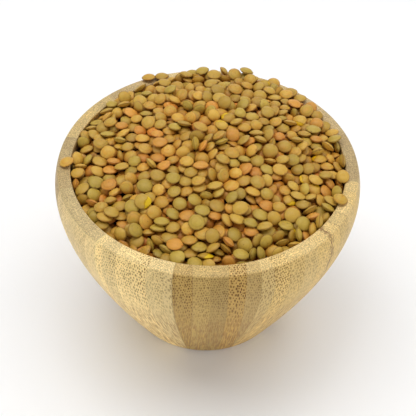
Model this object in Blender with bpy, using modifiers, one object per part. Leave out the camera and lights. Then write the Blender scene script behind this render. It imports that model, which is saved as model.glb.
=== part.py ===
"""A small laminated bamboo bowl, heaped with dry lentils.

Metres, +Z up. The origin is the centre of the bowl's flat base, and -Y is the
front, where the heap is lowest. The bowl is one turned solid. The lentils are
one solid too: a core that fills the bowl, with the lentils that show fused on.
"""

import math
import random

import bpy
from mathutils import Matrix, Vector

# Bowl: sizes of the turned blank, in metres
RIM_RADIUS = 0.060
RIM_WIDTH = 0.005
BOWL_HEIGHT = 0.083
FOOT_RADIUS = 0.0372
FLOOR_THICKNESS = 0.009
RIM_ROUNDING = 0.0006
FOOT_ROUNDING = 0.0015
CAVITY_RADIUS = RIM_RADIUS - RIM_WIDTH

# Control points that shape the sides, as radius and height above the base
OUTER_SHOULDER = (0.0644, 0.0727)
OUTER_BELLY = (0.0637, 0.0570)
INNER_SHOULDER = (0.0600, 0.0550)
INNER_BELLY = (0.0380, FLOOR_THICKNESS)

# Facets
BOWL_SIDES = 60
CORE_SIDES = 40
OUTER_STEPS = 8
INNER_STEPS = 7
CORNER_STEPS = 2
CORNER_PULL = 0.45
MERGE_DISTANCE = 0.00001

# Heap: heights of the lentils' upper surface over the rim, in metres
EDGE_RISE = 0.0015
LEAN_RISE = 0.0040
LEAN_DIRECTION = math.radians(78)
CREST_RISE = 0.0085
CORE_DEPTH = 0.0014
CORE_GAP = 0.0004
CORE_DOME_STEPS = 4
CORE_EDGE_DROP = 0.0065
SLOPE_STEP = 0.001

# Lentils: a biconvex seed, its section as radius and height of a unit lens
SEED_RADIUS = 0.0029
SEED_RADIUS_SPREAD = 0.0003
SEED_THICKNESS = 0.0025
SEED_LEAST_ROUNDNESS = 0.92
SEED_SECTION = ((0, 1), (0.62, 0.7), (1, 0), (0, -0.9))
SEED_SIDES = 6
SEED_COUNT = 228
SEED_SINK = 0.0011
SEED_HEIGHT_SPREAD = 0.0004
SEED_STRAY = 0.0008
SEED_EDGE_INSET = SEED_RADIUS * 0.75
USUAL_TILT = math.radians(13)
STEEP_TILT = math.radians(38)
STEEP_SHARE = 0.22
WALL_CLEARANCE = 0.0004
CLEARING_ROUNDS = 4
RIM_SEED_ANGLES = (106, 99, 92, 85, 78, 71, 49, 40, 20, 5)
RIM_SEED_PLACE = 0.0558
RIM_SEED_TILT = 0.3
GOLDEN_ANGLE = math.pi * (3 - math.sqrt(5))
RANDOM_SEED = 12

# Finishes: colour, roughness
BAMBOO = ((0.66, 0.50, 0.27), 0.55)
SEED_COAT = ((0.45, 0.31, 0.10), 0.5)
SMOOTH_UP_TO = math.radians(28)


def clear_scene():
    """Starts from nothing, whatever the open file holds."""
    for thing in list(bpy.data.objects):
        bpy.data.objects.remove(thing)
    for group in list(bpy.data.collections):
        bpy.data.collections.remove(group)


def new_collection(name):
    """A collection in the scene."""
    group = bpy.data.collections.new(name)
    bpy.context.scene.collection.children.link(group)
    return group


def new_material(name, finish):
    """A plain finish: colour and roughness."""
    colour, roughness = finish
    material = bpy.data.materials.new(name)
    material.use_nodes = True
    shader = material.node_tree.nodes["Principled BSDF"]
    shader.inputs["Base Color"].default_value = (*colour, 1)
    shader.inputs["Roughness"].default_value = roughness
    shader.inputs["Metallic"].default_value = 0
    return material


def cubic(start, first, second, end, steps):
    """Points on a cubic curve, both ends included."""
    points = []
    for i in range(steps + 1):
        t = i / steps
        weights = ((1 - t) ** 3, 3 * (1 - t) ** 2 * t, 3 * (1 - t) * t**2, t**3)
        shape = (start, first, second, end)
        points.append(tuple(sum(w * p[k] for w, p in zip(weights, shape)) for k in range(2)))
    return points


def rounded(corner, before, after, radius):
    """A corner eased with a short curve, starting and ending a radius away from it."""
    here = Vector(corner)
    start = here + (Vector(before) - here).normalized() * radius
    end = here + (Vector(after) - here).normalized() * radius
    middle_start = here.lerp(start, CORNER_PULL)
    middle_end = here.lerp(end, CORNER_PULL)
    return cubic(start, middle_start, middle_end, end, CORNER_STEPS)


def cavity_side():
    """The inside of the bowl, from the middle of its floor up to the rim."""
    floor_middle = (0, FLOOR_THICKNESS)
    return cubic(floor_middle, INNER_BELLY, INNER_SHOULDER, (CAVITY_RADIUS, BOWL_HEIGHT), INNER_STEPS)


def outer_side():
    """The outside of the bowl, from the rim down to the base."""
    return cubic((RIM_RADIUS, BOWL_HEIGHT), OUTER_SHOULDER, OUTER_BELLY, (FOOT_RADIUS, 0), OUTER_STEPS)


def bowl_profile():
    """The bowl's section: up the cavity, over the rim, down the outside and in to the axis."""
    cavity = cavity_side()
    outside = outer_side()
    inner_corner, outer_corner, foot_corner = cavity[-1], outside[0], outside[-1]
    profile = cavity[:-1]
    profile += rounded(inner_corner, cavity[-2], outer_corner, RIM_ROUNDING)
    profile += rounded(outer_corner, inner_corner, outside[1], RIM_ROUNDING)
    profile += outside[1:-1]
    profile += rounded(foot_corner, outside[-2], (0, 0), FOOT_ROUNDING)
    profile.append((0, 0))
    return profile


def turned(name, profile, sides, group):
    """A solid turned about Z from its section, which runs from axis to axis."""
    mesh = bpy.data.meshes.new(name)
    points = [(radius, 0, height) for radius, height in profile]
    mesh.from_pydata(points, [(i, i + 1) for i in range(len(points) - 1)], [])
    thing = bpy.data.objects.new(name, mesh)
    group.objects.link(thing)
    screw = thing.modifiers.new("Turn", "SCREW")
    screw.axis = "Z"
    screw.angle = math.tau
    screw.steps = sides
    screw.render_steps = sides
    screw.use_merge_vertices = True
    screw.merge_threshold = MERGE_DISTANCE
    return thing


def mesh_of(thing):
    """The mesh that an object's modifiers make."""
    bpy.context.view_layer.update()
    evaluated = thing.evaluated_get(bpy.context.evaluated_depsgraph_get())
    return bpy.data.meshes.new_from_object(evaluated)


def apply_modifiers(thing):
    """Gives an object the mesh that its modifiers make, in place of them."""
    mesh = mesh_of(thing)
    thing.modifiers.clear()
    thing.data = mesh


def dress(thing, material):
    """Gives a finished solid its material, smooth where it is round and crisp at its edges."""
    thing.data.materials.clear()
    thing.data.materials.append(material)
    thing.data.shade_smooth()
    thing.data.set_sharp_from_angle(angle=SMOOTH_UP_TO)


def heap_rise(x, y):
    """How far the lentils' upper surface stands over the rim at a point."""
    across = x * math.cos(LEAN_DIRECTION) + y * math.sin(LEAN_DIRECTION)
    share = min(1.0, math.hypot(x, y) / CAVITY_RADIUS)
    return EDGE_RISE + LEAN_RISE * across / CAVITY_RADIUS + CREST_RISE * (1 - share**2)


def heap_normal(x, y):
    """Which way the heap's surface faces at a point."""
    slope_x = (heap_rise(x + SLOPE_STEP, y) - heap_rise(x - SLOPE_STEP, y)) / (2 * SLOPE_STEP)
    slope_y = (heap_rise(x, y + SLOPE_STEP) - heap_rise(x, y - SLOPE_STEP)) / (2 * SLOPE_STEP)
    return Vector((-slope_x, -slope_y, 1)).normalized()


def cavity_radius_at(height):
    """The cavity's radius at a height, between the points of its side."""
    side = cavity_side()
    if height >= side[-1][1]:
        return side[-1][0]
    for (low_radius, low), (high_radius, high) in zip(side[1:], side[2:]):
        if low <= height <= high:
            return low_radius + (high_radius - low_radius) * (height - low) / (high - low)
    return 0.0


def core_profile():
    """The core's section: out along its dome, down beside the cavity's wall and in to the axis."""
    edge_height = BOWL_HEIGHT - CORE_EDGE_DROP
    side = [(radius, height) for radius, height in cavity_side() if 0 < radius and height < edge_height]
    side.append((cavity_radius_at(edge_height), edge_height))
    wall = []
    for i, point in enumerate(side):
        before = side[max(i - 1, 0)]
        after = side[min(i + 1, len(side) - 1)]
        along = (Vector(after) - Vector(before)).normalized()
        inward = Vector((-along.y, along.x))
        wall.append(tuple(Vector(point) + inward * CORE_GAP))
    edge_radius = wall[-1][0]
    dome = []
    for i in range(CORE_DOME_STEPS):
        radius = edge_radius * i / CORE_DOME_STEPS
        share = radius / CAVITY_RADIUS
        dome.append((radius, BOWL_HEIGHT + EDGE_RISE + CREST_RISE * (1 - share**2) - CORE_DEPTH))
    dome.append((edge_radius, BOWL_HEIGHT + EDGE_RISE - CORE_DEPTH))
    return dome + wall[::-1] + [(0, FLOOR_THICKNESS + CORE_GAP)]


def lean_dome(core):
    """Tips the core's top as the heap leans, and leaves its side beside the wall alone."""
    apply_modifiers(core)
    for vertex in core.data.vertices:
        x, y, z = vertex.co
        if z > BOWL_HEIGHT - CORE_EDGE_DROP + CORE_GAP:
            across = x * math.cos(LEAN_DIRECTION) + y * math.sin(LEAN_DIRECTION)
            vertex.co.z += LEAN_RISE * across / CAVITY_RADIUS


def seed_mesh(group):
    """A lentil of unit radius and unit half thickness, with few sides and a plainer underside."""
    pattern = turned("seed_pattern", SEED_SECTION, SEED_SIDES, group)
    mesh = mesh_of(pattern)
    bpy.data.objects.remove(pattern)
    return mesh


def seed_turn(rng, normal):
    """How a lentil lies: mostly along the heap's surface, some of them steep."""
    usual = abs(rng.gauss(0, USUAL_TILT))
    tilt = rng.uniform(USUAL_TILT, STEEP_TILT) if rng.random() < STEEP_SHARE else usual
    towards = rng.uniform(0, math.tau)
    axis = Vector((math.cos(towards), math.sin(towards), 0))
    spin = Matrix.Rotation(rng.uniform(0, math.tau), 4, "Z")
    lie = Vector((0, 0, 1)).rotation_difference(normal).to_matrix().to_4x4()
    return lie @ Matrix.Rotation(tilt, 4, axis) @ spin


def clear_of_bowl(points, place):
    """Moves a lentil in towards the axis until it is clear of the cavity's wall and of the rim."""
    shift = Vector((0, 0, 0))
    outward = Vector((place.x, place.y, 0)).normalized()
    for _ in range(CLEARING_ROUNDS):
        excess = 0.0
        for point in points:
            spot = point + shift
            if spot.z < BOWL_HEIGHT + WALL_CLEARANCE:
                room = cavity_radius_at(spot.z - WALL_CLEARANCE) - WALL_CLEARANCE
                excess = max(excess, math.hypot(spot.x, spot.y) - room)
        if excess <= 0:
            break
        shift -= outward * excess
    return shift


def seed_size(rng):
    """A lentil's own width, roundness and thickness."""
    half_width = SEED_RADIUS + rng.uniform(-SEED_RADIUS_SPREAD, SEED_RADIUS_SPREAD)
    roundness = rng.uniform(SEED_LEAST_ROUNDNESS, 1)
    return Matrix.Diagonal((half_width, half_width * roundness, SEED_THICKNESS / 2, 1))


def place_heap_seeds(unit, rng, group):
    """Lays the lentils over the heap in a sunflower's spiral, unevenly tipped and sized."""
    for i in range(SEED_COUNT):
        radius = (CAVITY_RADIUS - SEED_EDGE_INSET) * math.sqrt((i + 0.5) / SEED_COUNT)
        angle = i * GOLDEN_ANGLE
        x = radius * math.cos(angle) + rng.uniform(-SEED_STRAY, SEED_STRAY)
        y = radius * math.sin(angle) + rng.uniform(-SEED_STRAY, SEED_STRAY)
        lift = rng.uniform(-SEED_HEIGHT_SPREAD, SEED_HEIGHT_SPREAD) - SEED_SINK
        place = Vector((x, y, BOWL_HEIGHT + heap_rise(x, y) + lift))
        mesh = unit.copy()
        mesh.transform(Matrix.Translation(place) @ seed_turn(rng, heap_normal(x, y)) @ seed_size(rng))
        shift = clear_of_bowl([vertex.co.copy() for vertex in mesh.vertices], place)
        mesh.transform(Matrix.Translation(shift))
        group.objects.link(bpy.data.objects.new(f"seed_{i:03d}", mesh))


def place_rim_seeds(unit, rng, group):
    """Lays the few lentils that have spilled on to the rim, just clear of it."""
    for degrees in RIM_SEED_ANGLES:
        angle = math.radians(degrees)
        mesh = unit.copy()
        turn = Matrix.Rotation(angle, 4, "Z") @ Matrix.Rotation(rng.uniform(0, RIM_SEED_TILT), 4, "Y")
        mesh.transform(turn @ seed_size(rng))
        lowest = min(vertex.co.z for vertex in mesh.vertices)
        height = BOWL_HEIGHT + WALL_CLEARANCE - lowest
        place = Vector((RIM_SEED_PLACE * math.cos(angle), RIM_SEED_PLACE * math.sin(angle), height))
        mesh.transform(Matrix.Translation(place))
        group.objects.link(bpy.data.objects.new(f"rim_seed_{degrees:03d}", mesh))


def place_seeds(group):
    """Every lentil that shows."""
    rng = random.Random(RANDOM_SEED)
    unit = seed_mesh(group)
    place_heap_seeds(unit, rng, group)
    place_rim_seeds(unit, rng, group)
    bpy.data.meshes.remove(unit)


def fuse(core, group):
    """Joins the core and every lentil into one solid, and removes the loose lentils."""
    union = core.modifiers.new("Fuse", "BOOLEAN")
    union.operation = "UNION"
    union.operand_type = "COLLECTION"
    union.collection = group
    apply_modifiers(core)
    for seed in list(group.objects):
        bpy.data.objects.remove(seed)
    bpy.data.collections.remove(group)


def main():
    """Makes the bowl, and then the lentils in it."""
    clear_scene()
    parts = new_collection("bowl_of_dry_lentils")
    loose = new_collection("loose_lentils")

    bowl = turned("bowl", bowl_profile(), BOWL_SIDES, parts)
    apply_modifiers(bowl)
    dress(bowl, new_material("bamboo", BAMBOO))

    lentils = turned("lentils", core_profile(), CORE_SIDES, parts)
    lean_dome(lentils)
    place_seeds(loose)
    fuse(lentils, loose)
    dress(lentils, new_material("seed_coat", SEED_COAT))


main()
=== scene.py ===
"""The looks of a small laminated bamboo bowl, heaped above its rim with dry lentils.

The bowl is turned again in fine steps in place of its solid. The lentils are poured as rigid bodies on
to a bed of lentils coloured dark brown as painted shade, and each one that shows is then given a seed's
shape of its own. Metres, +Z up, with -Y the front, where the heap is lowest.
"""

import logging
import math
import random
from dataclasses import dataclass, field, replace
from enum import Enum
from typing import Any

import bmesh
import bpy
import numpy as np
from mathutils import Matrix, Vector
from mathutils.bvhtree import BVHTree
from mathutils.kdtree import KDTree


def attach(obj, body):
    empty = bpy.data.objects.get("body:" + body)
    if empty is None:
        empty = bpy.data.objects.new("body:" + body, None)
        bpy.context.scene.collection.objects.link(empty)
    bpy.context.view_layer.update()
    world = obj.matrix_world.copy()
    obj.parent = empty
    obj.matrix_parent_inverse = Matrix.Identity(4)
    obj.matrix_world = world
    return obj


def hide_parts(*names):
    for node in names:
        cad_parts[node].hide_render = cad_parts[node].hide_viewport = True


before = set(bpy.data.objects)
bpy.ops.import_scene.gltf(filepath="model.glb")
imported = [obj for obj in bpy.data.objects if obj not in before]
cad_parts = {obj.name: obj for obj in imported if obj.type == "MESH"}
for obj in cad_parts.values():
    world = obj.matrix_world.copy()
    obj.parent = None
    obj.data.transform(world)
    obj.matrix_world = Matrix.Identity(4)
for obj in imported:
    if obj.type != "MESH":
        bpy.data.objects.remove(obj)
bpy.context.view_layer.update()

log = logging.getLogger("lentil_bowl")

Rgb = tuple[float, float, float]
Span = tuple[float, float]
Section = list[Span]
Faces = list[tuple[int, ...]]
BODY = "root"
GOLDEN_ANGLE = math.pi * (3 - math.sqrt(5))
MM = 0.001
ON_AXIS = 1e-7


def seen(red: int, green: int, blue: int) -> Rgb:
    """A colour as the eye reads it on a screen, turned into the light that it stands for.

    Args:
        red: Red, from 0 to 255.
        green: Green, from 0 to 255.
        blue: Blue, from 0 to 255.

    Returns:
        The linear colour, each part from 0 to 1.
    """
    parts = (value / 255 for value in (red, green, blue))
    return tuple(p / 12.92 if p <= 0.04045 else ((p + 0.055) / 1.055) ** 2.4 for p in parts)


class Field:
    """One number, colour or vector that a node gives, for sums written as plain Python."""

    def __init__(self, bench: "Bench", socket: bpy.types.NodeSocket) -> None:
        """Wraps a node's output socket."""
        self.bench = bench
        self.socket = socket

    def __add__(self, other: "Field | float") -> "Field":
        """Adds a number."""
        return self.bench.maths("ADD", self, other)

    def __radd__(self, other: float) -> "Field":
        """Is added to a number."""
        return self.bench.maths("ADD", other, self)

    def __sub__(self, other: "Field | float") -> "Field":
        """Takes a number away."""
        return self.bench.maths("SUBTRACT", self, other)

    def __rsub__(self, other: float) -> "Field":
        """Is taken from a number."""
        return self.bench.maths("SUBTRACT", other, self)

    def __mul__(self, other: "Field | float") -> "Field":
        """Multiplies by a number."""
        return self.bench.maths("MULTIPLY", self, other)

    def __rmul__(self, other: float) -> "Field":
        """Multiplies a number."""
        return self.bench.maths("MULTIPLY", other, self)

    def __truediv__(self, other: "Field | float") -> "Field":
        """Divides by a number."""
        return self.bench.maths("DIVIDE", self, other)

    def __rtruediv__(self, other: float) -> "Field":
        """Divides a number."""
        return self.bench.maths("DIVIDE", other, self)

    def __neg__(self) -> "Field":
        """Turns the sign round."""
        return self.bench.maths("MULTIPLY", self, -1.0)

    def swing(self, reach: "Field | float") -> "Field":
        """Noise around 0.5 as a swing around nought."""
        return (self - 0.5) * reach

    def floor(self) -> "Field":
        """The whole number below."""
        return self.bench.maths("FLOOR", self)


@dataclass(frozen=True)
class Cloud:
    """One kind of cloudy noise: its clouds for each unit of place, its finer layers and their strength."""

    scale: float
    detail: float = 2.0
    roughness: float = 0.5


class Bench:
    """Where one finish is mixed: it adds nodes to the tree of a material, or of the room's light."""

    def __init__(self, owner: bpy.types.Material | bpy.types.World) -> None:
        """Starts from the usual nodes of a new material or world."""
        owner.use_nodes = True
        self.tree = owner.node_tree

    def node(
        self,
        kind: str,
        settings: dict[str, Any] | None = None,
        sockets: dict[str | int, Any] | None = None,
        output: str | int = 0,
    ) -> Field:
        """Adds any node: its settings first, and then its sockets' values or links.

        Args:
            kind: The node's type.
            settings: Its settings by name; "stops" fills a colour ramp.
            sockets: A value or a Field for each input, by name or number.
            output: Which output to give back.

        Returns:
            That output.
        """
        made = self.tree.nodes.new(kind)
        for name, value in (settings or {}).items():
            if name == "stops":
                self.fill_ramp(made.color_ramp, value)
            else:
                setattr(made, name, value)
        for key, value in (sockets or {}).items():
            if isinstance(value, Field):
                self.tree.links.new(value.socket, made.inputs[key])
            else:
                made.inputs[key].default_value = value
        return Field(self, made.outputs[output])

    @staticmethod
    def fill_ramp(ramp: bpy.types.ColorRamp, stops: list[tuple[float, Rgb]]) -> None:
        """Sets a ramp's stops, one hard step for each.

        Args:
            ramp: The ramp.
            stops: Where each step starts, and its colour.
        """
        ramp.interpolation = "CONSTANT"
        while len(ramp.elements) < len(stops):
            ramp.elements.new(1.0)
        for element, (place, colour) in zip(ramp.elements, stops):
            element.position = place
            element.color = (*colour, 1)

    def lookup(self, number: Field, rows: list[Rgb]) -> Field:
        """Looks up one row of a list by its number.

        Args:
            number: The row's number, from 0.
            rows: A colour, or three numbers from 0 to 1, for each row.

        Returns:
            The row's colour.
        """
        stops = [(i / len(rows), row) for i, row in enumerate(rows)]
        return self.node("ShaderNodeValToRGB", {"stops": stops}, {0: (number + 0.5) / len(rows)})

    def listed(self, number: Field, values: list[float]) -> Field:
        """Looks up one number, from 0 to 1, in a list."""
        return self.parts(self.lookup(number, [(value, 0, 0) for value in values]))[0]

    def maths(self, operation: str, *values: "Field | float") -> Field:
        """One Math node on numbers."""
        return self.node("ShaderNodeMath", {"operation": operation}, dict(enumerate(values)))

    def largest(self, *values: Field) -> Field:
        """Finds the largest of some numbers.

        Args:
            values: The numbers.

        Returns:
            The largest.
        """
        best = values[0]
        for value in values[1:]:
            best = self.maths("MAXIMUM", best, value)
        return best

    def length(self, x: Field, y: Field) -> Field:
        """How far a point is from nought."""
        return self.maths("SQRT", x * x + y * y)

    def wrap(self, value: Field, size: int) -> Field:
        """Brings a number back into the range from 0 to a size."""
        return self.maths("FLOORED_MODULO", value, float(size))

    def is_number(self, value: Field, number: int) -> Field:
        """1 where a value is this whole number, and 0 elsewhere."""
        return self.maths("COMPARE", value, float(number), 0.5)

    def clamp(self, value: Field) -> Field:
        """Keeps a number from 0 to 1."""
        return self.node("ShaderNodeClamp", sockets={0: value})

    def step(self, value: Field, low: "Field | float", high: "Field | float") -> Field:
        """A soft step.

        Args:
            value: The number to judge.
            low: Where the step starts, at 0.
            high: Where it ends, at 1.

        Returns:
            0 to 1, with no corner.
        """
        sockets = {"Value": value, "From Min": low, "From Max": high}
        return self.node("ShaderNodeMapRange", {"interpolation_type": "SMOOTHSTEP"}, sockets)

    def fall(self, value: Field, low: float, high: float) -> Field:
        """A soft step down, from 1 to 0."""
        return 1 - self.step(value, low, high)

    def mix(self, share: "Field | float", first: Any, second: Any, blend: str = "MIX") -> Field:
        """Blends two colours.

        Args:
            share: How much of the second shows.
            first: The colour underneath.
            second: The colour on top.
            blend: Blender's name for the way of blending.

        Returns:
            The blended colour.
        """
        settings = {"data_type": "RGBA", "blend_type": blend, "clamp_factor": True}
        colours = [c if isinstance(c, Field) else (*c, 1) for c in (first, second)]
        return self.node("ShaderNodeMix", settings, {0: share, 6: colours[0], 7: colours[1]}, 2)

    def scaled(self, vector: Field, by: "Field | float") -> Field:
        """Multiplies a vector or a colour by a number."""
        return self.node("ShaderNodeVectorMath", {"operation": "SCALE"}, {0: vector, "Scale": by})

    def joined(self, first: Field, second: Field) -> Field:
        """Adds two vectors."""
        return self.node("ShaderNodeVectorMath", {"operation": "ADD"}, {0: first, 1: second})

    def parts(self, vector: Field) -> tuple[Field, Field, Field]:
        """Takes a vector apart.

        Args:
            vector: The vector.

        Returns:
            Its three numbers.
        """
        first = self.node("ShaderNodeSeparateXYZ", sockets={0: vector})
        outputs = first.socket.node.outputs
        return tuple(Field(self, outputs[i]) for i in range(3))

    def vector(self, x: "Field | float", y: "Field | float", z: "Field | float") -> Field:
        """A vector of three numbers."""
        return self.node("ShaderNodeCombineXYZ", sockets={0: x, 1: y, 2: z})

    def noise(self, place: Field, cloud: Cloud, output: int = 0) -> Field:
        """Cloudy noise around 0.5.

        Args:
            place: Where to read it.
            cloud: What the noise is like.
            output: 0 for one number and 1 for three at once.

        Returns:
            The noise.
        """
        sockets = {"Vector": place, "Scale": cloud.scale, "Detail": cloud.detail}
        sockets["Roughness"] = cloud.roughness
        return self.node("ShaderNodeTexNoise", sockets=sockets, output=output)

    def chance(self, place: Field) -> tuple[Field, Field, Field]:
        """Three random numbers that belong to a place."""
        return self.parts(self.node("ShaderNodeTexWhiteNoise", {"noise_dimensions": "3D"}, {0: place}, 1))

    def attribute(self, name: str) -> Field:
        """A vector that the mesh carries at each point."""
        return self.node("ShaderNodeAttribute", {"attribute_name": name}, output="Vector")

    def position(self) -> Field:
        """Where the surface is, in the part's own frame."""
        return self.node("ShaderNodeTexCoord", output="Object")

    def finish(self, colour: Any, roughness: Any, relief: Field | None, depth: float, sheen: float) -> None:
        """Joins colour, roughness and relief to the shader.

        Args:
            colour: Base colour.
            roughness: Roughness.
            relief: Height of the fine relief, about 0 to 1, or None.
            depth: How deep a relief of 1 is, in metres.
            sheen: How strongly it reflects, from 0 to 1.
        """
        shader = self.tree.nodes["Principled BSDF"]
        self.tree.links.new(colour.socket, shader.inputs["Base Color"])
        self.tree.links.new(roughness.socket, shader.inputs["Roughness"])
        shader.inputs["Metallic"].default_value = 0.0
        shader.inputs["Specular IOR Level"].default_value = sheen
        if relief is not None:
            sockets = {"Height": relief, "Distance": depth, "Strength": 1.0}
            bumped = self.node("ShaderNodeBump", sockets=sockets)
            self.tree.links.new(bumped.socket, shader.inputs["Normal"])


class SeamTone(Enum):
    """What the glue line at a stave's edge looks like, as the darkness of the line."""

    PALE = 0.0
    FAINT = 0.35
    BROWN = 0.7
    DARK = 1.0


@dataclass(frozen=True)
class Stave:
    """One of the blocks that the bowl is glued from.

    It has a ground colour, the strength of its dots, how far its strips are shifted in millimetres, the
    seam at its first edge, how light its rim is, and how much paler it gets towards its far edge.
    """

    ground: Rgb
    dots: float
    shift: float
    seam: SeamTone
    rim_light: float = 1.0
    paler_side: float = 0.0


@dataclass(frozen=True)
class Strip:
    """One bamboo strip of the front stave: its colour, the strength of its dots and how many fit across."""

    ground: Rgb
    dots: float
    bundles: int


CREAM = seen(246, 216, 146)
STRAW = seen(220, 186, 111)
HONEY = seen(198, 169, 116)
TAN = seen(190, 158, 104)

STAVES = (
    Stave(CREAM, 0.95, 3.85, SeamTone.PALE, 1.12, -0.14),
    Stave(TAN, 0.6, 0.0, SeamTone.BROWN, 1.04),
    Stave(STRAW, 0.92, 2.25, SeamTone.FAINT, 1.22, 0.12),
    Stave(STRAW, 0.45, 1.1, SeamTone.DARK, 1.15),
    Stave(HONEY, 0.7, 4.3, SeamTone.FAINT, 0.85),
    Stave(HONEY, 0.6, 2.9, SeamTone.BROWN),
    Stave(STRAW, 0.8, 5.0, SeamTone.FAINT),
    Stave(CREAM, 0.55, 0.6, SeamTone.PALE),
    Stave(TAN, 0.65, 3.2, SeamTone.BROWN),
    Stave(STRAW, 0.7, 1.9, SeamTone.FAINT),
    Stave(seen(178, 150, 98), 0.45, 5.4, SeamTone.FAINT, 0.94),
    Stave(seen(234, 206, 144), 0.5, 0.55, SeamTone.BROWN, 0.8),
)

FRONT_STRIPS = (
    Strip(seen(180, 146, 74), 0.85, 7),
    Strip(seen(183, 152, 84), 0.65, 7),
    Strip(seen(171, 141, 77), 0.65, 8),
    Strip(seen(186, 149, 75), 1.0, 6),
    Strip(seen(180, 150, 88), 0.55, 7),
)


class Draw(Enum):
    """What a strip draws its random numbers for, and where in the noise they are drawn."""

    TONE = (3.7, 8.1)
    BUNDLES = (9.4, 2.6)
    JOINT = (6.1, 2.2)
    LINE = (1.3, 4.4)


@dataclass(frozen=True)
class Spot:
    """Where a place on the bowl lies in its bamboo, in millimetres."""

    bench: Bench
    x: Field
    y: Field
    z: Field
    turn: Field
    stave: Field
    across: Field
    layer: Field
    along: Field
    strip: Field
    within: Field
    name: Field
    is_front: Field
    rim: Field
    low: Field

    def noise(
        self, cloud: Cloud, layer: "Field | float" = 1.0, along: float = 0.06, output: int = 0
    ) -> Field:
        """Noise that is stretched along the fibres.

        Args:
            cloud: What the noise is like.
            layer: How fast it changes from layer to layer.
            along: How fast it changes along the fibres.
            output: 0 for one number and 1 for three at once.

        Returns:
            The noise.
        """
        place = self.bench.vector(self.across, self.layer * layer, self.along * along)
        return self.bench.noise(place, cloud, output)

    def draw(self, purpose: Draw) -> tuple[Field, Field, Field]:
        """Three random numbers that belong to the strip."""
        return self.bench.chance(self.bench.vector(self.name, *purpose.value))


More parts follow.
